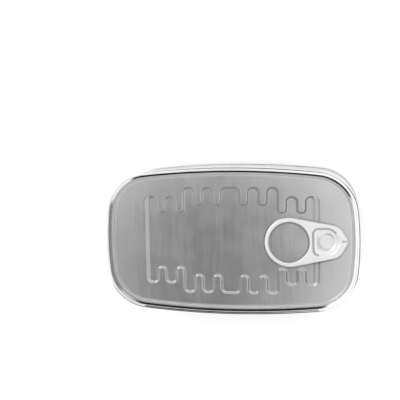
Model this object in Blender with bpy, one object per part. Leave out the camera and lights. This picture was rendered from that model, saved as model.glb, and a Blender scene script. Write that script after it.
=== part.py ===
"""A flat oblong fish tin with a ring-pull lid, lying on its base with the lid up.

Metres, +Z up. The origin is at the middle of the base, +X runs to the nose of the tab.
Three pieces: the drawn can with its contents, the seamed lid with its rivet, and the tab.
"""

from math import cos, pi, radians, sin, tan

import bmesh
import bpy
from mathutils import Matrix, Vector

# Overall sizes of the tin
LENGTH = 0.104
WIDTH = 0.060
HEIGHT = 0.030

# Plan outline: all four sides bow outwards a little between round corners
LONG_SIDE_RADIUS = 0.340
SHORT_SIDE_RADIUS = 0.115
CORNER_RADIUS = 0.0175
LONG_SIDE_STEPS = 7
SHORT_SIDE_STEPS = 4
CORNER_STEPS = 9

# Double seam round the lid
SEAM_WIDTH = 0.0012
SEAM_HEIGHT = 0.0030
CROWN_RADIUS = 0.0004
SEAM_FOOT_RADIUS = 0.0003
CROWN_STEPS = 3
SEAM_FOOT_STEPS = 2

# Lid sheet: sloped shoulder and chuck wall inside the seam, countersink groove and panel
SHEET = 0.0003
SHOULDER_RUN = 0.0009
SHOULDER_DROP = 0.0009
CHUCK_RUN = 0.0013
GROOVE_DEPTH = 0.0031
GROOVE_WIDTH = 0.0004
PANEL_DROP = 0.0028
PANEL_INSET = 0.0031

# Meander pressed into the panel: lobes that reach out to both long sides
LOBE_STEP = 0.00775
LOBE_WIDTH = 0.0044
FIRST_LOBE_X = 0.0094
LONG_REACH = 0.0216
SHORT_REACH = 0.0178
MIDDLE_VALLEY = 0.0145
OUTER_VALLEY = 0.0114
MEANDER_END_X = 0.0348
MEANDER_DEPTH = 0.0004
MEANDER_SLOPE = 0.0009
MEANDER_END_SLOPE = 0.0024
LOBE_RADIUS = 0.0020
LOBE_ROUNDNESS = 0.48
VALLEY_RADIUS = 0.0016
MEANDER_ARC_STEPS = 4

# Gap between pieces that touch
GAP = 0.0003

# Drawn can under the lid
WALL_INSET = 0.0005
WALL_TAPER = 0.0001
BASE_RADIUS = 0.0015
BASE_STEPS = 5
BASE_BEAD_INSET = 0.0070
BASE_BEAD_WIDTH = 0.0020
BASE_BEAD_DEPTH = 0.0004
BASE_BEAD_RUN = 0.0004

# Ring-pull tab
TAB_THICKNESS = 0.0014
TAB_EDGE_RADIUS = 0.00045
TAB_EDGE_STEPS = 3
TAB_CORNER_STEPS = 5
TAB_TURN = radians(1.2)
RING_X = 0.0241
RING_RADIUS = 0.01005
RING_STEPS = 40
FINGER_HOLE_X = 0.02385
FINGER_HOLE_RADIUS = 0.0082
FINGER_HOLE_STEPS = 44
TAB_SIDE_SLOPE = radians(11.3)
SHOULDER_X = 0.0439
SHOULDER_RADIUS = 0.0060
NOSE_X = 0.0477
NOSE_RADIUS = 0.0007
POCKET_DEPTH = 0.0006
POCKET_BACK_X = 0.0333
POCKET_SHOULDER_X = 0.0415
POCKET_NOSE_X = 0.0451
POCKET_HALF_WIDTH = 0.0057
POCKET_BACK_RADIUS = 0.0018
POCKET_FRONT_RADIUS = 0.0038
POCKET_NOSE_RADIUS = 0.0030
POCKET_SLOPE = 0.0003

# Rivet drawn up from the panel, its head spread over the tab
RIVET_X = 0.0389
RIVET_SHANK_RADIUS = 0.0020
RIVET_HEAD_RADIUS = 0.0030
RIVET_HOLE_RADIUS = 0.0023
RIVET_HEAD_EDGE = 0.0001
RIVET_DISH_RADIUS = 0.0018
RIVET_STEPS = 28

# Insets and heights worked out from the sizes above
SHOULDER_INSET = SEAM_WIDTH + SHOULDER_RUN
WALL_FOOT_INSET = SEAM_WIDTH + CHUCK_RUN
GROOVE_INSET = PANEL_INSET - GROOVE_WIDTH
PANEL_Z = HEIGHT - PANEL_DROP
SHOULDER_Z = HEIGHT - SHOULDER_DROP
SEAM_FOOT_Z = HEIGHT - SEAM_HEIGHT
GROOVE_Z = HEIGHT - GROOVE_DEPTH
TAB_BOTTOM_Z = PANEL_Z + GAP
TAB_TOP_Z = TAB_BOTTOM_Z + TAB_THICKNESS
POCKET_Z = TAB_TOP_Z - POCKET_DEPTH
RIVET_HEAD_Z = POCKET_Z + GAP

# Bare metal: base colour and roughness
CAN_METAL = ((0.80, 0.81, 0.82), 0.22)
LID_METAL = ((0.62, 0.63, 0.64), 0.32)
TAB_METAL = ((0.85, 0.86, 0.87), 0.28)

COLLECTION_NAME = "sardine_tin"
SHARP_ANGLE = radians(35)
FILL_SCALE = 1024.0


def clear_scene():
    for obj in list(bpy.data.objects):
        bpy.data.objects.remove(obj, do_unlink=True)


def make_collection(name):
    collection = bpy.data.collections.new(name)
    bpy.context.scene.collection.children.link(collection)
    return collection


def make_metal(name, color, roughness):
    material = bpy.data.materials.new(name)
    material.use_nodes = True
    shader = material.node_tree.nodes["Principled BSDF"]
    shader.inputs["Base Color"].default_value = (*color, 1.0)
    shader.inputs["Roughness"].default_value = roughness
    shader.inputs["Metallic"].default_value = 1.0
    return material


# Outlines in plan


def arc(centre, radius, start, end, steps):
    """Points along an arc, both ends included."""
    angles = [start + (end - start) * k / steps for k in range(steps + 1)]
    return [Vector((centre[0] + radius * cos(a), centre[1] + radius * sin(a))) for a in angles]


def circle(centre, radius, steps):
    return arc(centre, radius, 0.0, 2 * pi, steps)[:-1]


def tin_outline(inset):
    """The tin's plan, moved inwards by inset: two bowed sides meet in each round corner."""
    corner = CORNER_RADIUS - inset
    long_arc = LONG_SIDE_RADIUS - inset
    short_arc = SHORT_SIDE_RADIUS - inset
    long_centre = Vector((0.0, WIDTH / 2 - LONG_SIDE_RADIUS))
    short_centre = Vector((LENGTH / 2 - SHORT_SIDE_RADIUS, 0.0))
    # The corner's centre lies where it touches both side arcs from inside
    between = short_centre - long_centre
    gap = between.length
    along = ((long_arc - corner) ** 2 - (short_arc - corner) ** 2 + gap**2) / (2 * gap)
    across = ((long_arc - corner) ** 2 - along**2) ** 0.5
    unit = between / gap
    centre = long_centre + unit * along + Vector((unit.y, -unit.x)) * across
    to_long = (centre - long_centre).normalized()
    to_short = (centre - short_centre).normalized()
    long_end = Vector((1, 0)).angle_signed(to_long) * -1
    short_end = Vector((1, 0)).angle_signed(to_short) * -1
    quarter = arc(short_centre, short_arc, 0.0, short_end, SHORT_SIDE_STEPS)
    quarter += arc(centre, corner, short_end, long_end, CORNER_STEPS)[1:]
    quarter += arc(long_centre, long_arc, long_end, pi / 2, LONG_SIDE_STEPS)[1:]
    upper = quarter + [Vector((-p.x, p.y)) for p in reversed(quarter[:-1])]
    return upper + [Vector((p.x, -p.y)) for p in reversed(upper[1:-1])]


def rounded(corners, steps):
    """A closed outline from (point, radius) corners, each rounded by an arc."""
    points = []
    for k, (corner, radius) in enumerate(corners):
        before = (corners[k - 1][0] - corner).normalized()
        after = (corners[(k + 1) % len(corners)][0] - corner).normalized()
        half = before.angle(after) / 2
        centre = corner + (before + after).normalized() * radius / sin(half)
        start = corner + before * radius / tan(half) - centre
        sweep = start.angle_signed(corner + after * radius / tan(half) - centre)
        for s in range(steps + 1):
            points.append(centre + start @ Matrix.Rotation(sweep * s / steps, 2))
    return points


def grown(points, distance):
    """An anticlockwise outline moved outwards, or inwards where distance is negative."""
    moved = []
    for k, point in enumerate(points):
        before = (point - points[k - 1]).normalized()
        after = (points[(k + 1) % len(points)] - point).normalized()
        normal = Vector((before.y, -before.x)) + Vector((after.y, -after.x))
        normal.normalize()
        moved.append(point + normal * distance / normal.dot(Vector((after.y, -after.x))))
    return moved


def meander_outline(side):
    """The pressed field's rim (side 1) or floor (side -1): a square wave with round ends."""
    end_x = MEANDER_END_X + side * (MEANDER_END_SLOPE - MEANDER_SLOPE) / 2
    half = LOBE_WIDTH / 2
    centres = [FIRST_LOBE_X + LOBE_STEP * k for k in range(4)]
    reaches = (LONG_REACH, LONG_REACH, SHORT_REACH, SHORT_REACH)
    valleys = (MIDDLE_VALLEY, MIDDLE_VALLEY, OUTER_VALLEY, OUTER_VALLEY)
    inner_end = centres[0] - half - (LOBE_STEP - LOBE_WIDTH)
    quarter = [
        (Vector((inner_end, LONG_REACH)), LOBE_RADIUS),
        (Vector((inner_end, MIDDLE_VALLEY)), VALLEY_RADIUS),
    ]
    for k, x in enumerate(centres):
        right = end_x if k == 3 else x + half
        lobe_radius = min(LOBE_RADIUS, LOBE_ROUNDNESS * (right - x + half))
        quarter.append((Vector((x - half, valleys[k])), VALLEY_RADIUS))
        quarter.append((Vector((x - half, reaches[k])), lobe_radius))
        quarter.append((Vector((right, reaches[k])), lobe_radius))
        if k < 3:
            quarter.append((Vector((right, valleys[k + 1])), VALLEY_RADIUS))
    right_half = [(Vector((p.x, -p.y)), r) for p, r in quarter] + list(reversed(quarter))
    left_half = [(Vector((-p.x, p.y)), r) for p, r in reversed(right_half)]
    return grown(rounded(right_half + left_half, MEANDER_ARC_STEPS), side * MEANDER_SLOPE / 2)


def tab_outline():
    """Round at the finger ring, tapering along straight sides to shoulders and a pointed nose."""
    side = Vector((cos(TAB_SIDE_SLOPE), -sin(TAB_SIDE_SLOPE)))
    touch = Vector((RING_X + RING_RADIUS * sin(TAB_SIDE_SLOPE), RING_RADIUS * cos(TAB_SIDE_SLOPE)))
    shoulder = touch + side * (SHOULDER_X - touch.x) / side.x
    low_shoulder = Vector((shoulder.x, -shoulder.y))
    low_touch = Vector((touch.x, -touch.y))
    corners = [
        (low_touch, NOSE_RADIUS),
        (low_shoulder, SHOULDER_RADIUS),
        (Vector((NOSE_X, 0.0)), NOSE_RADIUS),
        (shoulder, SHOULDER_RADIUS),
        (touch, NOSE_RADIUS),
    ]
    steps = TAB_CORNER_STEPS
    front = rounded(corners, steps)[steps + 1 : -(steps + 1)]
    start = pi / 2 - TAB_SIDE_SLOPE
    return front + arc((RING_X, 0.0), RING_RADIUS, start, 2 * pi - start, RING_STEPS)


def pocket_outline():
    corners = [
        (Vector((POCKET_BACK_X, -POCKET_HALF_WIDTH)), POCKET_BACK_RADIUS),
        (Vector((POCKET_SHOULDER_X, -POCKET_HALF_WIDTH)), POCKET_FRONT_RADIUS),
        (Vector((POCKET_NOSE_X, 0.0)), POCKET_NOSE_RADIUS),
        (Vector((POCKET_SHOULDER_X, POCKET_HALF_WIDTH)), POCKET_FRONT_RADIUS),
        (Vector((POCKET_BACK_X, POCKET_HALF_WIDTH)), POCKET_BACK_RADIUS),
    ]
    return rounded(corners, TAB_CORNER_STEPS)


# Surfaces between outlines


def ring_edges(bm, ring):
    return [bm.edges.get((vert, ring[k - 1])) for k, vert in enumerate(ring)]


def add_ring(bm, points, z):
    """A closed ring of vertices and edges at one height."""
    ring = [bm.verts.new((p.x, p.y, z)) for p in points]
    for k, vert in enumerate(ring):
        bm.edges.new((ring[k - 1], vert))
    return ring


def extrude_ring(bm, ring, points, z):
    """Extrudes a ring and moves the new one onto points at height z."""
    made = bmesh.ops.extrude_edge_only(bm, edges=ring_edges(bm, ring))["geom"]
    fresh = {item for item in made if isinstance(item, bmesh.types.BMVert)}
    new_ring = []
    for vert, point in zip(ring, points):
        copy = next(e.other_vert(vert) for e in vert.link_edges if e.other_vert(vert) in fresh)
        copy.co = (point.x, point.y, z)
        new_ring.append(copy)
    return new_ring


def add_band(bm, sections):
    """Walls through a chain of (outline, height) sections; returns the first and last ring."""
    first = add_ring(bm, *sections[0])
    last = first
    for outline, z in sections[1:]:
        last = extrude_ring(bm, last, outline, z)
    return first, last


def fill(bm, rings):
    """A flat face, split into triangles, inside the first ring and outside any other."""
    edges = [edge for ring in rings for edge in ring_edges(bm, ring)]
    verts = [vert for ring in rings for vert in ring]
    # The fill drops triangles under 0.03 mm high, so it runs on an enlarged outline
    bmesh.ops.scale(bm, vec=Vector((FILL_SCALE,) * 3), verts=verts)
    bmesh.ops.triangle_fill(bm, edges=edges, use_beauty=True, normal=Vector((0, 0, 1)))
    bmesh.ops.scale(bm, vec=Vector((1 / FILL_SCALE,) * 3), verts=verts)


def face_outwards(bm):
    bmesh.ops.recalc_face_normals(bm, faces=bm.faces)
    if bm.calc_volume(signed=True) < 0:
        bmesh.ops.reverse_faces(bm, faces=bm.faces)


def finish_object(bm, name, collection, material):
    face_outwards(bm)
    mesh = bpy.data.meshes.new(name)
    bm.to_mesh(mesh)
    bm.free()
    mesh.shade_smooth()
    mesh.set_sharp_from_angle(angle=SHARP_ANGLE)
    obj = bpy.data.objects.new(name, mesh)
    obj.data.materials.append(material)
    collection.objects.link(obj)
    return obj


def quarter_round(inset, z, radius, start, steps):
    """Profile points (inset, height) on a quarter circle, anticlockwise from the start angle."""
    return [(inset + p.x, z + p.y) for p in arc((0.0, 0.0), radius, start, start + pi / 2, steps)]


# The drawn can


def can_profile():
    """(inset, height) pairs from the base's middle out, up the wall and in under the lid."""
    bead_in = BASE_BEAD_INSET + BASE_BEAD_WIDTH
    points = [
        (bead_in, 0.0),
        (bead_in - BASE_BEAD_RUN, BASE_BEAD_DEPTH),
        (BASE_BEAD_INSET + BASE_BEAD_RUN, BASE_BEAD_DEPTH),
        (BASE_BEAD_INSET, 0.0),
    ]
    wall_foot = WALL_INSET + WALL_TAPER
    edge = quarter_round(wall_foot + BASE_RADIUS, BASE_RADIUS, BASE_RADIUS, pi, BASE_STEPS)
    points += list(reversed(edge))
    wall_top = SEAM_FOOT_Z - GAP
    core_inset = SEAM_WIDTH + SHEET
    core_top = PANEL_Z - MEANDER_DEPTH - SHEET - GAP
    points += [(WALL_INSET, wall_top), (core_inset, wall_top), (core_inset + GAP, core_top)]
    return points


def build_can(collection, material):
    bm = bmesh.new()
    base, core = add_band(bm, [(tin_outline(inset), z) for inset, z in can_profile()])
    fill(bm, [base])
    fill(bm, [core])
    return finish_object(bm, "body", collection, material)


# The lid


def lid_top_profile():
    """(inset, height) pairs from the panel's edge, down the groove and up over the seam."""
    crown_z = HEIGHT - CROWN_RADIUS
    points = [
        (PANEL_INSET, PANEL_Z),
        (GROOVE_INSET, GROOVE_Z),
        (WALL_FOOT_INSET, GROOVE_Z),
        (SHOULDER_INSET, SHOULDER_Z),
    ]
    inner = arc((SEAM_WIDTH - CROWN_RADIUS, crown_z), CROWN_RADIUS, pi / 4, pi / 2, CROWN_STEPS)
    points += [(p.x, p.y) for p in inner]
    points += quarter_round(CROWN_RADIUS, crown_z, CROWN_RADIUS, pi / 2, CROWN_STEPS)
    return points


def lid_underside_profile():
    """(inset, height) pairs back along the seam's foot and the underside of the sheet."""
    r = SEAM_FOOT_RADIUS
    return quarter_round(r, SEAM_FOOT_Z + r, r, pi, SEAM_FOOT_STEPS) + [
        (WALL_FOOT_INSET - SHEET, SEAM_FOOT_Z),
        (WALL_FOOT_INSET, GROOVE_Z - SHEET),
        (GROOVE_INSET, GROOVE_Z - SHEET),
        (PANEL_INSET, PANEL_Z - SHEET),
    ]


def add_panel(bm, edge_ring, z, rivet_foot):
    """One face of the panel inside its edge at height z, with the meander field pressed down."""
    slope = [(meander_outline(1), z), (meander_outline(-1), z - MEANDER_DEPTH)]
    upper, lower = add_band(bm, slope)
    fill(bm, [edge_ring, upper] + rivet_foot)
    fill(bm, [lower])


def rivet_profile():
    """(radius, height) pairs from the panel up the shank and over the dished head."""
    return [
        (RIVET_SHANK_RADIUS, PANEL_Z),
        (RIVET_SHANK_RADIUS, RIVET_HEAD_Z),
        (RIVET_HEAD_RADIUS, RIVET_HEAD_Z),
        (RIVET_HEAD_RADIUS, TAB_TOP_Z - RIVET_HEAD_EDGE),
        (RIVET_HEAD_RADIUS - RIVET_HEAD_EDGE, TAB_TOP_Z),
        (RIVET_DISH_RADIUS, TAB_TOP_Z),
        (RIVET_DISH_RADIUS - RIVET_HEAD_EDGE, TAB_TOP_Z - RIVET_HEAD_EDGE),
    ]


def build_lid(collection, material):
    bm = bmesh.new()
    profile = lid_top_profile() + lid_underside_profile()
    top_edge, under_edge = add_band(bm, [(tin_outline(inset), z) for inset, z in profile])
    centre = (RIVET_X, 0.0)
    sections = [(circle(centre, radius, RIVET_STEPS), z) for radius, z in rivet_profile()]
    foot, dish = add_band(bm, sections)
    fill(bm, [dish])
    add_panel(bm, top_edge, PANEL_Z, [foot])
    add_panel(bm, under_edge, PANEL_Z - SHEET, [])
    return finish_object(bm, "lid", collection, material)


# The tab


def rounded_wall(outline, side):
    """Sections down one wall of the tab with both edges rounded; side is -1 round a hole."""
    r = TAB_EDGE_RADIUS
    angles = [k * pi / 2 / TAB_EDGE_STEPS for k in range(TAB_EDGE_STEPS + 1)]
    top = [(r - r * sin(a), TAB_TOP_Z - r + r * cos(a)) for a in angles]
    bottom = [(r - r * cos(a), TAB_BOTTOM_Z + r - r * sin(a)) for a in angles]
    return [(grown(outline, -side * inset), z) for inset, z in top + bottom]


def build_tab(collection, material):
    bm = bmesh.new()
    finger_hole = circle((FINGER_HOLE_X, 0.0), FINGER_HOLE_RADIUS, FINGER_HOLE_STEPS)
    outer_top, outer_foot = add_band(bm, rounded_wall(tab_outline(), 1))
    hole_top, hole_foot = add_band(bm, rounded_wall(finger_hole, -1))
    pocket = pocket_outline()
    pocket_edge, floor = add_band(bm, [(pocket, TAB_TOP_Z), (grown(pocket, -POCKET_SLOPE), POCKET_Z)])
    rivet_hole = circle((RIVET_X, 0.0), RIVET_HOLE_RADIUS, RIVET_STEPS)
    rivet_top, rivet_foot = add_band(bm, [(rivet_hole, POCKET_Z), (rivet_hole, TAB_BOTTOM_Z)])
    fill(bm, [outer_top, hole_top, pocket_edge])
    fill(bm, [floor, rivet_top])
    fill(bm, [outer_foot, hole_foot, rivet_foot])
    pivot = Vector((RIVET_X, 0.0, 0.0))
    bmesh.ops.rotate(bm, verts=bm.verts, cent=pivot, matrix=Matrix.Rotation(TAB_TURN, 3, "Z"))
    return finish_object(bm, "tab", collection, material)


def main():
    clear_scene()
    parts = make_collection(COLLECTION_NAME)
    build_can(parts, make_metal("can_aluminium", *CAN_METAL))
    build_lid(parts, make_metal("lid_aluminium", *LID_METAL))
    build_tab(parts, make_metal("tab_aluminium", *TAB_METAL))


main()
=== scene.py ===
"""Looks for the sardine tin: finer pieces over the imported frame, metal materials, light and camera.

Metres, in the frame of the model: +Z out of the lid, +X to the nose of the tab.
"""

from math import atan, cos, pi, radians, sin, tan

import bmesh
import bpy
from mathutils import Matrix, Vector

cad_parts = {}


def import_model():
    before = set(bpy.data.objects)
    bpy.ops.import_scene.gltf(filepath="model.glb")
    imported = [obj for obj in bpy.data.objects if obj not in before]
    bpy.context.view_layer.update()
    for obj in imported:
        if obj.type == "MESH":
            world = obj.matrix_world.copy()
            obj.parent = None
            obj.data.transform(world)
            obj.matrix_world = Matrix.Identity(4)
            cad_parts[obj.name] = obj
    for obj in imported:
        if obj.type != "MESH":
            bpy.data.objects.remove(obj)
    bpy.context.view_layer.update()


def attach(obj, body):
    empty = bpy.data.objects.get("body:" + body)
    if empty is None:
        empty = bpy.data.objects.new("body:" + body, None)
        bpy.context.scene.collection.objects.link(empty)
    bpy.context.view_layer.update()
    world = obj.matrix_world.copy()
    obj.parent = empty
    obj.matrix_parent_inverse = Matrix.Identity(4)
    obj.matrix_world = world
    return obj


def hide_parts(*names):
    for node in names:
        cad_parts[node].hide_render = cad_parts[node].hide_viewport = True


# Sizes, the same as the model's
LENGTH = 0.104
WIDTH = 0.060
HEIGHT = 0.030
LONG_SIDE_RADIUS = 0.340
SHORT_SIDE_RADIUS = 0.115
CORNER_RADIUS = 0.0175
SEAM_WIDTH = 0.0012
SEAM_HEIGHT = 0.0030
SEAM_FOOT_RADIUS = 0.0003
SHEET = 0.0003
SHOULDER_RUN = 0.0009
CHUCK_RUN = 0.0013
GROOVE_DEPTH = 0.0031
GROOVE_WIDTH = 0.0004
PANEL_DROP = 0.0028
PANEL_INSET = 0.0031
LOBE_STEP = 0.00775
LOBE_WIDTH = 0.0044
FIRST_LOBE_X = 0.0094
LONG_REACH = 0.0216
SHORT_REACH = 0.0178
MIDDLE_VALLEY = 0.0145
OUTER_VALLEY = 0.0114
MEANDER_END_X = 0.0348
MEANDER_END_SLOPE = 0.0024
LOBE_RADIUS = 0.0020
LOBE_ROUNDNESS = 0.48
VALLEY_RADIUS = 0.0016
GAP = 0.0003
WALL_INSET = 0.0005
WALL_TAPER = 0.0001
BASE_RADIUS = 0.0015
BASE_BEAD_INSET = 0.0070
BASE_BEAD_WIDTH = 0.0020
BASE_BEAD_DEPTH = 0.0004
TAB_THICKNESS = 0.0014
TAB_TURN = radians(1.2)
RING_X = 0.0241
RING_RADIUS = 0.01005
FINGER_HOLE_X = 0.02385
FINGER_HOLE_RADIUS = 0.0082
TAB_SIDE_SLOPE = radians(11.3)
SHOULDER_X = 0.0439
SHOULDER_RADIUS = 0.0060
NOSE_X = 0.0477
NOSE_RADIUS = 0.0007
POCKET_NOSE_RADIUS = 0.0030
RIVET_X = 0.0389
RIVET_SHANK_RADIUS = 0.0020
RIVET_DISH_RADIUS = 0.0018

# Sizes set a little finer or softer than the model's, for the look of the shading
SHOULDER_DROP = 0.00075
CROWN_SLOPE_RUN = 0.00050
CROWN_SLOPE_DROP = 0.00031
MEANDER_DEPTH = 0.0003
MEANDER_SLOPE = 0.0010
POCKET_DEPTH = 0.0004
POCKET_BACK_X = 0.0329
POCKET_SHOULDER_X = 0.0416
POCKET_NOSE_X = 0.0454
POCKET_HALF_WIDTH = 0.0059
POCKET_BACK_RADIUS = 0.0027
POCKET_FRONT_RADIUS = 0.0050
RIVET_HEAD_RADIUS = 0.0027
RIVET_HOLE_RADIUS = 0.0029
RIVET_RISE = 0.00004
RIVET_DISH_DEPTH = 0.00005

# Roundings and short runs in the profiles of the can, the lid and the rivet
HIDDEN_ROUNDING = 0.0001
BEAD_ROUNDING = 0.0004
BEAD_RUN = 0.0006
PANEL_EDGE_ROUNDING = 0.0004
PANEL_UNDER_ROUNDING = 0.0002
GROOVE_ROUNDING = 0.00015
SHOULDER_ROUNDING = 0.0008
CROWN_INNER_ROUNDING = 0.0004
CROWN_SLOPE_ROUNDING = 0.0003
CROWN_OUTER_ROUNDING = 0.0002
RIVET_COLLAR = 0.0002
RIVET_RIM_RISE = 0.00002
RIVET_RIM_RUN = 0.0005
RIVET_RIM_ROUNDING = 0.0002
RIVET_TOP_ROUNDING = 0.0004
RIVET_DISH_LIP = 0.0002
RIVET_DISH_RUN = 0.0003
RIVET_DISH_ROUNDING = 0.0006
RIVET_DISH_FLOOR_RADIUS = 0.0005

# Flat rims left round the faces that fill an outline
FLAT_MARGIN = 0.0001
MARGIN_WIDTH = 0.0012
MARGIN_UNDER_WIDTH = 0.0008
CAN_MARGIN_WIDTH = 0.0010

# Heights and insets worked out from the sizes
PANEL_Z = HEIGHT - PANEL_DROP
SEAM_FOOT_Z = HEIGHT - SEAM_HEIGHT
GROOVE_Z = HEIGHT - GROOVE_DEPTH
TAB_BOTTOM_Z = PANEL_Z + GAP
TAB_TOP_Z = TAB_BOTTOM_Z + TAB_THICKNESS
POCKET_Z = TAB_TOP_Z - POCKET_DEPTH
RIVET_TOP_Z = POCKET_Z + RIVET_RISE
WALL_FOOT_INSET = SEAM_WIDTH + CHUCK_RUN
GROOVE_INSET = PANEL_INSET - GROOVE_WIDTH

# Finer steps than the model's
LONG_SIDE_STEPS = 20
SHORT_SIDE_STEPS = 12
CORNER_STEPS = 18
PROFILE_STEPS = 6
MEANDER_ARC_STEPS = 8
MEANDER_RINGS = 8
RING_STEPS = 96
CORNER_ARC_STEPS = 10
ROLL_RINGS = 9
RIVET_STEPS = 64

# Rolled edges of the tab: how far each runs in from its outline
TAB_ROLL = 0.0007
HOLE_ROLL = 0.0006
POCKET_LIP = 0.0012

# How much of a pressed slope runs straight, and the least radius left where a corner moves in
STRAIGHT_SHARE = 0.75
LEAST_RADIUS_SHARE = 0.1

# An outline is enlarged while it is filled, as the fill drops triangles under 0.03 mm high
FILL_SCALE = 1024.0

# Where the crown's painted highlight and the painted shade on the pressed lines and in the
# pocket's fold lie; rings count from the top
CROWN_DEPTH = 0.00004
NEAR_SIDE_X = 0.0360
DARK_RINGS = range(3, 8)
LIGHT_SHARE = 0.6
LINE_END_X = 0.0336
END_FOOT_X = 0.0330
END_REACH = 0.0155
FOLD_RINGS = range(2, 8)
FOLD_BACK_X = 0.0355
FOLD_FRONT_X = 0.0430

# Places of the metals on the lid and on the tab, after the plain one; the crown's metal holds a painted
# highlight, and the metals of the pressed slopes, the panel's edge, the pocket's fold hold painted
# shade
SEAM = 1
GROOVE = 2
DEEP_SLOPE_SHADE = 3
CROWN_HIGHLIGHT = 4
PALE_SLOPE_SHADE = 5
EDGE_SHADE = 6
POCKET_SHADE = 1

# Crease in the tab's nose
CREASE_START_X = 0.0448
CREASE_START_RUN = 0.0004
CREASE_Y = 0.0003
CREASE_HALF_WIDTH = 0.0005
CREASE_DEPTH = 0.0004

# Camera, fitted to the photo
CAMERA_PLACE = (0.04839, 0.05171, 0.35426)
CAMERA_RIGHT = (0.98338, -0.01736, -0.18075)
CAMERA_UP = (-0.00202, 0.99432, -0.10645)
CAMERA_BACK = (0.18157, 0.10505, 0.97775)
FOCAL_PIXELS = 820.0
FRAME_PIXELS = 400.0
CLIP_START = 0.01
CLIP_END = 20.0

# Studio as the metal sees it: soft cards as (direction, inner and outer angle in degrees, radiance)
STUDIO_WHITE = 1.0
STUDIO_CARDS = (
    ((-0.95, 0.05, 0.25), 22.0, 30.0, 1.15),
    ((-0.70, 0.65, 0.30), 22.0, 30.0, 1.30),
    ((0.95, 0.15, 0.30), 30.0, 48.0, 0.25),
    ((0.20, 0.90, 0.40), 20.0, 42.0, 0.60),
    ((-0.05, 1.00, 0.10), 20.0, 28.0, 0.00),
    ((-0.42, -0.90, -0.06), 30.0, 40.0, 0.00),
    ((0.00, 0.00, 1.00), 38.0, 50.0, 0.40),
    ((0.00, 0.00, 1.00), 20.0, 34.0, 1.06),
    ((-0.60, 0.50, 0.70), 10.0, 20.0, 2.30),
    ((-0.17, -0.18, 0.97), 1.0, 12.5, 0.00),
)

# The studio's brightness for matt light, and as the camera sees it behind the tin
STUDIO_FILL = 1.3
STUDIO_BACKDROP = 1.0

# Key light over the far side, aimed at the lid
KEY_PLACE = (0.5, 0.8, 1.2)
KEY_SIZE = 0.5
KEY_POWER = 4.0

# White floor, with a painted contact shadow: a dark line where the tin's foot meets it
FLOOR_HALF_SIZE = 3.0
FLOOR_ROUGHNESS = 0.9
FLOOR_SHINE = 0.1
CONTACT_SHADOW_REACH = 0.0010
CONTACT_SHADOW_RANGE = (0.55, 0.80)
CONTACT_SHADOW_TONES = (0.02, 0.95)

# Soft shade in narrow places: how open a place is where the shade is full, and where it ends
SHADE_SAMPLES = 16
SHADE_RANGE = (0.40, 0.80)

# The way the panel's soft shade leans
SHADE_LEAN = (0.35, 0.45, 0.75)

# Noise of the mottling, the dents and the grain, and the part of its run that spans tone and gloss
MOTTLE = {"Scale": 90.0, "Detail": 4.0}
MOTTLE_STOPS = (0.3, 0.7)
GLOSS_RANGE = (0.7, 1.3)
DENTS = {"Scale": 45.0, "Detail": 1.0}
DENT_DEPTH = 0.001
GRAIN = {"Scale": 1.0, "Detail": 3.0, "Roughness": 0.6}
GRAIN_DEPTH = 0.00005

# Noise scales that stretch the grain along one way
ALONG_Y = (1500.0, 60.0, 60.0)
ALONG_TAB = (900.0, 120.0, 120.0)
ALONG_Z = (900.0, 900.0, 40.0)
ALL_WAYS = (600.0, 600.0, 900.0)

# What the metals of the lid and of the tab have in common
SHEET_LOOK = {"roughness": (0.17, 0.21), "grain": ALONG_Y, "bumps": (0.1, 0.0), "metallic": 0.88}
LINE_LOOK = {"roughness": (0.20, 0.26), "grain": ALL_WAYS, "bumps": (0.1, 0.0), "metallic": 0.9}
TAB_LOOK = {"roughness": (0.34, 0.40), "grain": ALONG_TAB, "bumps": (0.1, 0.05), "metallic": 0.6}
RIM_LOOK = {"grain": ALL_WAYS, "bumps": (0.1, 0.02)}
TAB_SHADE_REACH = 0.0012


# Outlines in plan


def arc(centre, radius, start, end, steps):
    """Points along an arc, both ends included."""
    angles = [start + (end - start) * k / steps for k in range(steps + 1)]
    return [Vector((centre[0] + radius * cos(a), centre[1] + radius * sin(a))) for a in angles]


def circle(centre, radius, steps):
    return arc(centre, radius, 0.0, 2 * pi, steps)[:-1]


def tin_outline(inset):
    """The tin's plan, moved inwards by inset: two bowed sides meet in each round corner."""
    corner = CORNER_RADIUS - inset
    long_arc = LONG_SIDE_RADIUS - inset
    short_arc = SHORT_SIDE_RADIUS - inset
    long_centre = Vector((0.0, WIDTH / 2 - LONG_SIDE_RADIUS))
    short_centre = Vector((LENGTH / 2 - SHORT_SIDE_RADIUS, 0.0))
    # The corner's centre lies where it touches both side arcs from inside
    between = short_centre - long_centre
    gap = between.length
    along = ((long_arc - corner) ** 2 - (short_arc - corner) ** 2 + gap**2) / (2 * gap)
    across = ((long_arc - corner) ** 2 - along**2) ** 0.5
    unit = between / gap
    centre = long_centre + unit * along + Vector((unit.y, -unit.x)) * across
    to_long = (centre - long_centre).normalized()
    to_short = (centre - short_centre).normalized()
    long_end = Vector((1, 0)).angle_signed(to_long) * -1
    short_end = Vector((1, 0)).angle_signed(to_short) * -1
    quarter = arc(short_centre, short_arc, 0.0, short_end, SHORT_SIDE_STEPS)
    quarter += arc(centre, corner, short_end, long_end, CORNER_STEPS)[1:]
    quarter += arc(long_centre, long_arc, long_end, pi / 2, LONG_SIDE_STEPS)[1:]
    upper = quarter + [Vector((-p.x, p.y)) for p in reversed(quarter[:-1])]
    return upper + [Vector((p.x, -p.y)) for p in reversed(upper[1:-1])]


def corner_arc(before_point, corner, after_point, radius, steps):
    """Points of the arc that rounds one corner between two straight runs."""
    before = (before_point - corner).normalized()
    after = (after_point - corner).normalized()
    half = before.angle(after) / 2
    centre = corner + (before + after).normalized() * radius / sin(half)
    start = corner + before * radius / tan(half) - centre
    sweep = start.angle_signed(corner + after * radius / tan(half) - centre)
    return [centre + start @ Matrix.Rotation(sweep * s / steps, 2) for s in range(steps + 1)]


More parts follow.
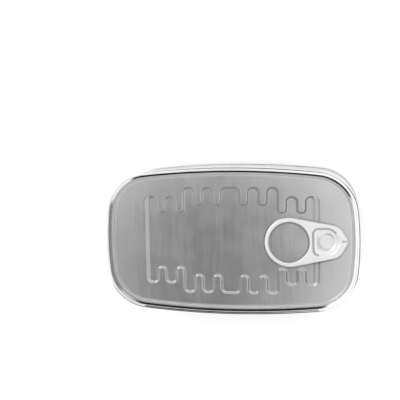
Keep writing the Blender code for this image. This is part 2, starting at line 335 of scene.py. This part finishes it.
def rounded(corners, steps):
    """A closed outline from (point, radius) corners, each rounded by an arc."""
    points = []
    for k, (corner, radius) in enumerate(corners):
        after = corners[(k + 1) % len(corners)][0]
        points += corner_arc(corners[k - 1][0], corner, after, radius, steps)
    return points


def smooth_path(corners, steps):
    """An open run of (x, y, radius) corners with each inner corner rounded."""
    points = [Vector(corners[0][:2])]
    for before, corner, after in zip(corners, corners[1:], corners[2:]):
        ends = [Vector(p[:2]) for p in (before, corner, after)]
        if corner[2]:
            points += corner_arc(*ends, corner[2], steps)
        else:
            points.append(ends[1])
    return points + [Vector(corners[-1][:2])]


def grown(points, distance):
    """An anticlockwise outline moved outwards, or inwards where distance is negative."""
    moved = []
    for k, point in enumerate(points):
        before = (point - points[k - 1]).normalized()
        after = (points[(k + 1) % len(points)] - point).normalized()
        normal = Vector((before.y, -before.x)) + Vector((after.y, -after.x))
        normal.normalize()
        moved.append(point + normal * distance / normal.dot(Vector((after.y, -after.x))))
    return moved


def inset_corners(corners, inset):
    """Anticlockwise (point, radius) corners moved inwards, with the radii cut to match."""
    moved = []
    for k, (corner, radius) in enumerate(corners):
        before = (corners[k - 1][0] - corner).normalized()
        after = (corners[(k + 1) % len(corners)][0] - corner).normalized()
        half = before.angle(after) / 2
        inward = (before + after).normalized()
        least = LEAST_RADIUS_SHARE * radius
        moved.append((corner + inward * inset / sin(half), max(radius - inset, least)))
    return moved


def meander_outline(side):
    """The pressed field's outline from its rim (side 1) to its floor (side -1)."""
    end_x = MEANDER_END_X + side * (MEANDER_END_SLOPE - MEANDER_SLOPE) / 2
    half = LOBE_WIDTH / 2
    reaches = (LONG_REACH, LONG_REACH, SHORT_REACH, SHORT_REACH)
    valleys = (MIDDLE_VALLEY, MIDDLE_VALLEY, OUTER_VALLEY, OUTER_VALLEY)
    last = len(reaches) - 1
    centres = [FIRST_LOBE_X + LOBE_STEP * k for k in range(last + 1)]
    inner_end = centres[0] - half - (LOBE_STEP - LOBE_WIDTH)
    quarter = [
        (Vector((inner_end, LONG_REACH)), LOBE_RADIUS),
        (Vector((inner_end, MIDDLE_VALLEY)), VALLEY_RADIUS),
    ]
    for k, x in enumerate(centres):
        right = end_x if k == last else x + half
        lobe_radius = min(LOBE_RADIUS, LOBE_ROUNDNESS * (right - x + half))
        quarter.append((Vector((x - half, valleys[k])), VALLEY_RADIUS))
        quarter.append((Vector((x - half, reaches[k])), lobe_radius))
        quarter.append((Vector((right, reaches[k])), lobe_radius))
        if k < last:
            quarter.append((Vector((right, valleys[k + 1])), VALLEY_RADIUS))
    right_half = [(Vector((p.x, -p.y)), r) for p, r in quarter] + list(reversed(quarter))
    left_half = [(Vector((-p.x, p.y)), r) for p, r in reversed(right_half)]
    return grown(rounded(right_half + left_half, MEANDER_ARC_STEPS), side * MEANDER_SLOPE / 2)


def tab_outline(inset):
    """Round at the finger ring, tapering along straight sides to shoulders and a pointed nose."""
    side = Vector((cos(TAB_SIDE_SLOPE), -sin(TAB_SIDE_SLOPE)))
    outward = Vector((sin(TAB_SIDE_SLOPE), cos(TAB_SIDE_SLOPE)))
    touch = Vector((RING_X, 0.0)) + outward * RING_RADIUS
    shoulder = touch + side * (SHOULDER_X - touch.x) / side.x
    corners = [
        (Vector((touch.x, -touch.y)), NOSE_RADIUS),
        (Vector((shoulder.x, -shoulder.y)), SHOULDER_RADIUS),
        (Vector((NOSE_X, 0.0)), NOSE_RADIUS),
        (shoulder, SHOULDER_RADIUS),
        (touch, NOSE_RADIUS),
    ]
    steps = CORNER_ARC_STEPS
    front = rounded(inset_corners(corners, inset), steps)[steps + 1 : -(steps + 1)]
    start = pi / 2 - TAB_SIDE_SLOPE
    radius = RING_RADIUS - inset
    return front + arc((RING_X, 0.0), radius, start, 2 * pi - start, RING_STEPS)


def pocket_outline(inset):
    corners = [
        (Vector((POCKET_BACK_X, -POCKET_HALF_WIDTH)), POCKET_BACK_RADIUS),
        (Vector((POCKET_SHOULDER_X, -POCKET_HALF_WIDTH)), POCKET_FRONT_RADIUS),
        (Vector((POCKET_NOSE_X, 0.0)), POCKET_NOSE_RADIUS),
        (Vector((POCKET_SHOULDER_X, POCKET_HALF_WIDTH)), POCKET_FRONT_RADIUS),
        (Vector((POCKET_BACK_X, POCKET_HALF_WIDTH)), POCKET_BACK_RADIUS),
    ]
    return rounded(inset_corners(corners, inset), CORNER_ARC_STEPS)


# Surfaces between outlines


def add_ring(bm, points, z):
    ring = [bm.verts.new((p.x, p.y, z)) for p in points]
    for k, vert in enumerate(ring):
        bm.edges.new((ring[k - 1], vert))
    return ring


def add_band(bm, sections):
    """Walls through a chain of (outline, height) sections; returns the first and last ring."""
    rings = [add_ring(bm, outline, z) for outline, z in sections]
    for lower, upper in zip(rings, rings[1:]):
        for k in range(len(lower)):
            bm.faces.new((lower[k - 1], lower[k], upper[k], upper[k - 1]))
    return rings[0], rings[-1]


def fill(bm, rings):
    """A flat face, split into triangles, inside the first ring and outside any other."""
    edges = [bm.edges.get((vert, ring[k - 1])) for ring in rings for k, vert in enumerate(ring)]
    verts = [vert for ring in rings for vert in ring]
    bmesh.ops.scale(bm, vec=Vector((FILL_SCALE,) * 3), verts=verts)
    bmesh.ops.triangle_fill(bm, edges=edges, use_beauty=True, normal=Vector((0, 0, 1)))
    bmesh.ops.scale(bm, vec=Vector((1 / FILL_SCALE,) * 3), verts=verts)


def finish_piece(bm, name, node, materials):
    """The mesh as a smooth piece that rides on the tin and stands for a node of the model."""
    bmesh.ops.recalc_face_normals(bm, faces=bm.faces)
    if bm.calc_volume(signed=True) < 0:
        bmesh.ops.reverse_faces(bm, faces=bm.faces)
    mesh = bpy.data.meshes.new(name)
    bm.to_mesh(mesh)
    bm.free()
    mesh.shade_smooth()
    for material in materials:
        mesh.materials.append(material)
    piece = bpy.data.objects.new(name, mesh)
    bpy.context.scene.collection.objects.link(piece)
    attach(piece, "root")
    if node:
        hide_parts(node)


def soft_step(t):
    """From 0 to 1, nearly straight, with slightly soft ends."""
    return STRAIGHT_SHARE * t + (1 - STRAIGHT_SHARE) * t * t * (3 - 2 * t)


# The pieces


def build_can(materials):
    """The drawn can: bead in the base, rounded foot, wall up under the seam."""
    bm = bmesh.new()
    foot = WALL_INSET + WALL_TAPER
    bead_in = BASE_BEAD_INSET + BASE_BEAD_WIDTH
    wall_top = SEAM_FOOT_Z - GAP
    core = SEAM_WIDTH + SHEET
    core_top = GROOVE_Z - SHEET - GAP
    corners = [
        (bead_in + CAN_MARGIN_WIDTH, 0.0, 0.0),
        (bead_in, 0.0, BEAD_ROUNDING),
        (bead_in - BEAD_RUN, BASE_BEAD_DEPTH, BEAD_ROUNDING),
        (BASE_BEAD_INSET + BEAD_RUN, BASE_BEAD_DEPTH, BEAD_ROUNDING),
        (BASE_BEAD_INSET, 0.0, BEAD_ROUNDING),
        (foot, 0.0, BASE_RADIUS),
        (WALL_INSET, wall_top, HIDDEN_ROUNDING),
        (core, wall_top, HIDDEN_ROUNDING),
        (core + GAP, core_top, HIDDEN_ROUNDING),
        (core + GAP + CAN_MARGIN_WIDTH, core_top, 0.0),
    ]
    path = smooth_path(corners, PROFILE_STEPS)
    base, core_ring = add_band(bm, [(tin_outline(p.x), p.y) for p in path])
    fill(bm, [base])
    fill(bm, [core_ring])
    finish_piece(bm, "can_shell", "body", materials)


def panel_sections(z):
    """The pressed field's wall as rings along a soft S, with a flat margin at both ends."""
    top = meander_outline(1)
    bottom = meander_outline(-1)
    sections = [(grown(top, FLAT_MARGIN), z)]
    for k in range(MEANDER_RINGS + 1):
        t = k / MEANDER_RINGS
        outline = [a.lerp(b, t) for a, b in zip(top, bottom)]
        sections.append((outline, z - MEANDER_DEPTH * soft_step(t)))
    sections.append((grown(bottom, -FLAT_MARGIN), z - MEANDER_DEPTH))
    return sections


def paint_rim(faces, path, count):
    """Metals of the bands round the panel, count faces to each step of the path; the crown but for its
    near side gets a painted highlight.
    """
    for k, face in enumerate(faces):
        section = (path[k // count] + path[k // count + 1]) / 2
        if section.x > WALL_FOOT_INSET and section.y < PANEL_Z - FLAT_MARGIN:
            face.material_index = GROOVE
        elif section.x < SEAM_WIDTH and section.y > HEIGHT - CROWN_DEPTH:
            middle = face.calc_center_median()
            near_side = middle.y < 0 and abs(middle.x) < NEAR_SIDE_X
            # the crown's painted highlight, left out on its near side
            face.material_index = SEAM if near_side else CROWN_HIGHLIGHT
        elif section.x < WALL_FOOT_INSET:
            face.material_index = SEAM
        else:
            # painted shade on the panel's edge next to the rim
            face.material_index = EDGE_SHADE


def paint_field(faces, count):
    """Painted shade on the pressed field's slopes: deep where they turn away from the light, paler on
    the rest, none at the +X end.
    """
    for k, face in enumerate(faces):
        face.normal_update()
        turned = face.normal * (1 if face.normal.z > 0 else -1)
        faces_light = turned.y > LIGHT_SHARE * turned.xy.length
        middle = face.calc_center_median()
        at_end = abs(middle.x) > (END_FOOT_X if abs(middle.y) < END_REACH else LINE_END_X)
        ring = k // count
        if 1 <= ring <= MEANDER_RINGS and not (at_end and middle.x > 0):
            dark = ring in DARK_RINGS and not faces_light and not at_end
            face.material_index = DEEP_SLOPE_SHADE if dark else PALE_SLOPE_SHADE


def build_lid(materials):
    """The lid sheet: panel, pressed field, groove, chuck wall and the double seam's crown."""
    bm = bmesh.new()
    under_z = PANEL_Z - SHEET
    corners = [
        (PANEL_INSET + MARGIN_WIDTH, PANEL_Z, 0.0),
        (PANEL_INSET, PANEL_Z, PANEL_EDGE_ROUNDING),
        (GROOVE_INSET, GROOVE_Z, GROOVE_ROUNDING),
        (WALL_FOOT_INSET, GROOVE_Z, GROOVE_ROUNDING),
        (SEAM_WIDTH + SHOULDER_RUN, HEIGHT - SHOULDER_DROP, SHOULDER_ROUNDING),
        (SEAM_WIDTH, HEIGHT, CROWN_INNER_ROUNDING),
        (CROWN_SLOPE_RUN, HEIGHT, CROWN_SLOPE_ROUNDING),
        (0.0, HEIGHT - CROWN_SLOPE_DROP, CROWN_OUTER_ROUNDING),
        (0.0, SEAM_FOOT_Z, SEAM_FOOT_RADIUS),
        (WALL_FOOT_INSET - SHEET, SEAM_FOOT_Z, HIDDEN_ROUNDING),
        (WALL_FOOT_INSET - SHEET / 2, GROOVE_Z - SHEET, HIDDEN_ROUNDING),
        (GROOVE_INSET + SHEET / 2, GROOVE_Z - SHEET, HIDDEN_ROUNDING),
        (PANEL_INSET, under_z, PANEL_UNDER_ROUNDING),
        (PANEL_INSET + MARGIN_UNDER_WIDTH, under_z, 0.0),
    ]
    path = smooth_path(corners, PROFILE_STEPS)
    top_edge, under_edge = add_band(bm, [(tin_outline(p.x), p.y) for p in path])
    paint_rim(bm.faces, path, len(top_edge))
    for edge_ring, z in ((top_edge, PANEL_Z), (under_edge, under_z)):
        first_face = len(bm.faces)
        rim, floor = add_band(bm, panel_sections(z))
        paint_field(list(bm.faces)[first_face:], len(rim))
        fill(bm, [edge_ring, rim])
        fill(bm, [floor])
    finish_piece(bm, "lid_sheet", "lid", materials)


def build_rivet(materials):
    """The rivet: a shank up from the panel and a low head with a soft rim and a shallow dish."""
    bm = bmesh.new()
    collar = RIVET_HEAD_RADIUS + RIVET_COLLAR
    dish_z = RIVET_TOP_Z - RIVET_DISH_DEPTH
    corners = [
        (RIVET_SHANK_RADIUS, PANEL_Z - SHEET / 2, 0.0),
        (RIVET_SHANK_RADIUS, POCKET_Z - GAP, HIDDEN_ROUNDING),
        (collar, POCKET_Z - GAP, HIDDEN_ROUNDING),
        (collar, POCKET_Z, 0.0),
        (RIVET_HEAD_RADIUS, POCKET_Z + RIVET_RIM_RISE, RIVET_RIM_ROUNDING),
        (RIVET_HEAD_RADIUS - RIVET_RIM_RUN, RIVET_TOP_Z, RIVET_TOP_ROUNDING),
        (RIVET_DISH_RADIUS + RIVET_DISH_LIP, RIVET_TOP_Z, RIVET_TOP_ROUNDING),
        (RIVET_DISH_RADIUS - RIVET_DISH_RUN, dish_z, RIVET_DISH_ROUNDING),
        (RIVET_DISH_FLOOR_RADIUS, dish_z, 0.0),
    ]
    path = smooth_path(corners, PROFILE_STEPS)
    centre = (RIVET_X, 0.0)
    foot, dish = add_band(bm, [(circle(centre, p.x, RIVET_STEPS), p.y) for p in path])
    fill(bm, [foot])
    fill(bm, [dish])
    finish_piece(bm, "rivet", None, materials)


def roll_sections(outline, roll):
    """Rings from a flat margin over a rolled edge and under to the tab's foot."""
    half = TAB_THICKNESS / 2
    middle = TAB_BOTTOM_Z + half
    sections = [(outline(roll + FLAT_MARGIN), TAB_TOP_Z)]
    count = 2 * ROLL_RINGS
    for k in range(count + 1):
        angle = pi / 2 - pi * k / count
        sections.append((outline(roll * (1 - cos(angle))), middle + half * sin(angle)))
    sections.append((outline(roll + FLAT_MARGIN), TAB_BOTTOM_Z))
    return sections


def finger_hole(inset):
    return circle((FINGER_HOLE_X, 0.0), FINGER_HOLE_RADIUS + inset, RING_STEPS)


def paint_pocket_shade(faces, count):
    """Painted shade in the pocket's fold, at its back and along its far side."""
    for k, face in enumerate(faces):
        middle = face.calc_center_median()
        at_back = middle.x < FOLD_BACK_X
        along_far_side = middle.y > 0 and middle.x < FOLD_FRONT_X
        if k // count in FOLD_RINGS and (at_back or along_far_side):
            face.material_index = POCKET_SHADE


def build_tab(materials):
    """The ring-pull tab: rolled edges, a soft-edged pocket and the rivet hole."""
    bm = bmesh.new()
    outer_top, outer_foot = add_band(bm, roll_sections(tab_outline, TAB_ROLL))
    hole_top, hole_foot = add_band(bm, roll_sections(finger_hole, HOLE_ROLL))
    pocket = [(pocket_outline(-FLAT_MARGIN), TAB_TOP_Z)]
    for k in range(MEANDER_RINGS + 1):
        t = k / MEANDER_RINGS
        pocket.append((pocket_outline(POCKET_LIP * t), TAB_TOP_Z - POCKET_DEPTH * soft_step(t)))
    pocket.append((pocket_outline(POCKET_LIP + FLAT_MARGIN), POCKET_Z))
    first_face = len(bm.faces)
    pocket_edge, floor = add_band(bm, pocket)
    paint_pocket_shade(list(bm.faces)[first_face:], len(floor))
    rivet_hole = circle((RIVET_X, 0.0), RIVET_HOLE_RADIUS, RIVET_STEPS)
    rivet_top, rivet_foot = add_band(bm, [(rivet_hole, POCKET_Z), (rivet_hole, TAB_BOTTOM_Z)])
    fill(bm, [outer_top, hole_top, pocket_edge])
    fill(bm, [floor, rivet_top])
    fill(bm, [outer_foot, hole_foot, rivet_foot])
    pivot = Vector((RIVET_X, 0.0, 0.0))
    bmesh.ops.rotate(bm, verts=bm.verts, cent=pivot, matrix=Matrix.Rotation(TAB_TURN, 3, "Z"))
    finish_piece(bm, "ring_tab", "tab", materials)


# Materials


def add_node(tree, kind, inputs=None, **settings):
    """A shader node with its settings and inputs; an input may be a value or another node's output."""
    made = tree.nodes.new(kind)
    for key, value in settings.items():
        setattr(made, key, value)
    for key, value in (inputs or {}).items():
        if isinstance(value, bpy.types.NodeSocket):
            tree.links.new(value, made.inputs[key])
        else:
            made.inputs[key].default_value = value
    return made


def math_node(tree, operation, *values):
    inputs = dict(enumerate(values))
    return add_node(tree, "ShaderNodeMath", inputs, operation=operation).outputs["Value"]


def spread(tree, value, start, end, low=0.0, high=1.0, **settings):
    """A value's run from start to end mapped onto low to high, and held level beyond both ends."""
    inputs = {"Value": value, "From Min": start, "From Max": end, "To Min": low, "To Max": high}
    return add_node(tree, "ShaderNodeMapRange", inputs, **settings).outputs["Result"]


def openness(tree, reach, leaning=False):
    """How open the surroundings within reach are, from 0 in a narrow place to 1."""
    inputs = {"Distance": reach}
    if leaning:
        lean = add_node(tree, "ShaderNodeCombineXYZ", dict(zip("XYZ", SHADE_LEAN)))
        inputs["Normal"] = lean.outputs["Vector"]
    return add_node(tree, "ShaderNodeAmbientOcclusion", inputs, samples=SHADE_SAMPLES).outputs["AO"]


def bump(tree, height, strength, distance, under=None):
    """A bump from a height, laid over the bump under it where there is one."""
    inputs = {"Height": height, "Strength": strength, "Distance": distance}
    if under is not None:
        inputs["Normal"] = under
    return add_node(tree, "ShaderNodeBump", inputs).outputs["Normal"]


def crease_height(tree, place):
    """A short V-shaped crease that runs from the pocket to the tip of the tab's nose."""
    axes = add_node(tree, "ShaderNodeSeparateXYZ", {"Vector": place}).outputs
    away = math_node(tree, "ABSOLUTE", math_node(tree, "SUBTRACT", axes["Y"], CREASE_Y))
    side = spread(tree, away, 0.0, CREASE_HALF_WIDTH, interpolation_type="SMOOTHSTEP")
    start_end = CREASE_START_X + CREASE_START_RUN
    behind = spread(tree, axes["X"], CREASE_START_X, start_end, 1.0, 0.0)
    return math_node(tree, "MAXIMUM", side, behind)


def mottled_tone(tree, cloud, tones):
    """A grey that wanders between two tones."""
    ramp = add_node(tree, "ShaderNodeValToRGB", {"Fac": cloud})
    for stop, position, grey in zip(ramp.color_ramp.elements, MOTTLE_STOPS, tones):
        stop.position = position
        stop.color = (grey, grey, grey, 1.0)
    return ramp.outputs["Color"]


def shaded(tree, colour, shade, reach, leaning):
    """The colour darkened by shade in narrow places; leaning, it darkens more on one side."""
    light = spread(tree, openness(tree, reach, leaning), *SHADE_RANGE)
    inputs = {0: shade, 6: colour, 7: light}
    mix = add_node(tree, "ShaderNodeMix", inputs, data_type="RGBA", blend_type="MULTIPLY")
    return mix.outputs[2]


def metal(
    name,
    tones,
    roughness,
    grain,
    bumps,
    metallic,
    shade=0.0,
    reach=0.0016,
    leaning=False,
    creased=False,
):
    """Sheet metal: mottled tone and gloss, fine rolled grain along one way and soft unevenness.

    tones and roughness are (low, high), grain is the noise's scale along X, Y and Z, bumps is
    the strength of (grain, unevenness), and shade is how far narrow places within reach darken.
    A leaning shade falls more to one side, and a creased metal has the crease in the tab's nose.
    """
    material = bpy.data.materials.new(name)
    material.use_nodes = True
    tree = material.node_tree
    place = add_node(tree, "ShaderNodeTexCoord").outputs["Object"]
    cloud = add_node(tree, "ShaderNodeTexNoise", {"Vector": place, **MOTTLE}).outputs["Fac"]
    stretched = add_node(tree, "ShaderNodeMapping", {"Vector": place, "Scale": grain}).outputs["Vector"]
    lines = add_node(tree, "ShaderNodeTexNoise", {"Vector": stretched, **GRAIN}).outputs["Fac"]
    dents = add_node(tree, "ShaderNodeTexNoise", {"Vector": place, **DENTS}).outputs["Fac"]
    colour = mottled_tone(tree, cloud, tones)
    if shade:
        colour = shaded(tree, colour, shade, reach, leaning)
    gloss = spread(tree, math_node(tree, "ADD", cloud, lines), *GLOSS_RANGE, *roughness)
    normal = bump(tree, dents, bumps[1], DENT_DEPTH)
    normal = bump(tree, lines, bumps[0], GRAIN_DEPTH, normal)
    if creased:
        normal = bump(tree, crease_height(tree, place), 1.0, CREASE_DEPTH, normal)
    shader = tree.nodes["Principled BSDF"]
    shader.inputs["Metallic"].default_value = metallic
    tree.links.new(colour, shader.inputs["Base Color"])
    tree.links.new(gloss, shader.inputs["Roughness"])
    tree.links.new(normal, shader.inputs["Normal"])
    return material


def can_metals():
    wall = {"roughness": (0.16, 0.26), "grain": ALONG_Z, "bumps": (0.3, 0.03), "metallic": 0.9}
    return [metal("can_metal", (0.60, 0.70), shade=0.6, **wall)]


def lid_metals():
    """The panel's metal first, then those at the places from SEAM on; some hold a painted highlight or
    painted shade.
    """
    seam = {"roughness": (0.08, 0.12), "metallic": 1.0, **RIM_LOOK}
    crown = {"roughness": (0.12, 0.18), "metallic": 0.5, **RIM_LOOK}
    groove = {"roughness": (0.34, 0.42), "metallic": 0.7, **RIM_LOOK}
    return [
        metal("lid_metal", (0.71, 0.75), shade=1.0, leaning=True, **SHEET_LOOK),
        metal("seam_metal", (0.86, 0.90), **seam),
        metal("groove_metal", (0.68, 0.74), **groove),
        # painted shade on pressed slopes that turn away from the light
        metal("slope_deep_shade_metal", (0.32, 0.37), **LINE_LOOK),
        # painted highlight on the crown
        metal("crown_highlight_metal", (0.90, 0.95), **crown),
        # paler painted shade on the other pressed slopes
        metal("slope_pale_shade_metal", (0.49, 0.53), **LINE_LOOK),
        # painted shade on the panel's edge next to the rim
        metal("edge_shade_metal", (0.65, 0.69), **SHEET_LOOK),
    ]


def rivet_metals():
    # The rivet is a little darker than the tab: painted shade, as on the pocket's floor round it
    return [metal("rivet_shade_metal", (0.72, 0.77), shade=1.0, reach=TAB_SHADE_REACH, **TAB_LOOK)]


def tab_metals():
    """The tab's plain metal, then the one with painted shade in the pocket's fold."""
    return [
        metal("tab_metal", (0.79, 0.84), shade=1.0, reach=TAB_SHADE_REACH, creased=True, **TAB_LOOK),
        # painted shade in the pocket's fold
        metal("pocket_shade_metal", (0.42, 0.47), shade=0.9, reach=TAB_SHADE_REACH, **TAB_LOOK),
    ]


# Studio


def build_floor():
    bm = bmesh.new()
    bmesh.ops.create_grid(bm, x_segments=2, y_segments=2, size=FLOOR_HALF_SIZE)
    mesh = bpy.data.meshes.new("floor")
    bm.to_mesh(mesh)
    bm.free()
    material = bpy.data.materials.new("floor_white_contact_shadow")
    material.use_nodes = True
    tree = material.node_tree
    # The white darkens to a painted contact shadow by the tin's foot
    white = spread(tree, openness(tree, CONTACT_SHADOW_REACH), *CONTACT_SHADOW_RANGE, *CONTACT_SHADOW_TONES)
    shader = tree.nodes["Principled BSDF"]
    tree.links.new(white, shader.inputs["Base Color"])
    shader.inputs["Roughness"].default_value = FLOOR_ROUGHNESS
    shader.inputs["Specular IOR Level"].default_value = FLOOR_SHINE
    mesh.materials.append(material)
    floor = bpy.data.objects.new("floor", mesh)
    bpy.context.scene.collection.objects.link(floor)


def build_key_light():
    """A soft square light that the metal doesn't mirror."""
    data = bpy.data.lights.new("key", "AREA")
    data.shape = "SQUARE"
    data.size = KEY_SIZE
    data.energy = KEY_POWER
    light = bpy.data.objects.new("key", data)
    light.location = KEY_PLACE
    light.visible_glossy = False
    aim = Vector((0, 0, HEIGHT)) - Vector(KEY_PLACE)
    light.rotation_euler = aim.to_track_quat("-Z", "Y").to_euler()
    bpy.context.scene.collection.objects.link(light)


def build_world():
    """A white studio with soft dark and bright cards; the camera itself sees plain white."""
    world = bpy.data.worlds.new("studio")
    world.use_nodes = True
    bpy.context.scene.world = world
    tree = world.node_tree
    place = add_node(tree, "ShaderNodeTexCoord").outputs["Generated"]
    radiance = STUDIO_WHITE
    for towards, inner, outer, card in STUDIO_CARDS:
        ends = {0: place, 1: Vector(towards).normalized()}
        facing = add_node(tree, "ShaderNodeVectorMath", ends, operation="DOT_PRODUCT")
        edge = (cos(radians(outer)), cos(radians(inner)))
        mask = spread(tree, facing.outputs["Value"], *edge, interpolation_type="SMOOTHSTEP")
        mix = add_node(tree, "ShaderNodeMix", {0: mask, 2: radiance, 3: card})
        radiance = mix.outputs[0]
    ray = add_node(tree, "ShaderNodeLightPath").outputs
    for kind, level in (("Is Diffuse Ray", STUDIO_FILL), ("Is Camera Ray", STUDIO_BACKDROP)):
        mix = add_node(tree, "ShaderNodeMix", {0: ray[kind], 2: radiance, 3: level})
        radiance = mix.outputs[0]
    background = tree.nodes["Background"]
    background.inputs["Color"].default_value = (1.0, 1.0, 1.0, 1.0)
    tree.links.new(radiance, background.inputs["Strength"])


def build_camera():
    data = bpy.data.cameras.new("camera")
    data.sensor_fit = "HORIZONTAL"
    data.angle = 2 * atan(FRAME_PIXELS / 2 / FOCAL_PIXELS)
    data.clip_start = CLIP_START
    data.clip_end = CLIP_END
    camera = bpy.data.objects.new("camera", data)
    turn = Matrix((CAMERA_RIGHT, CAMERA_UP, CAMERA_BACK)).transposed().to_4x4()
    camera.matrix_world = Matrix.Translation(CAMERA_PLACE) @ turn
    bpy.context.scene.collection.objects.link(camera)
    bpy.context.scene.camera = camera


def main():
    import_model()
    build_camera()
    build_world()
    build_floor()
    build_key_light()
    build_can(can_metals())
    build_lid(lid_metals())
    build_rivet(rivet_metals())
    build_tab(tab_metals())
    bpy.context.scene.view_settings.view_transform = "Standard"


main()
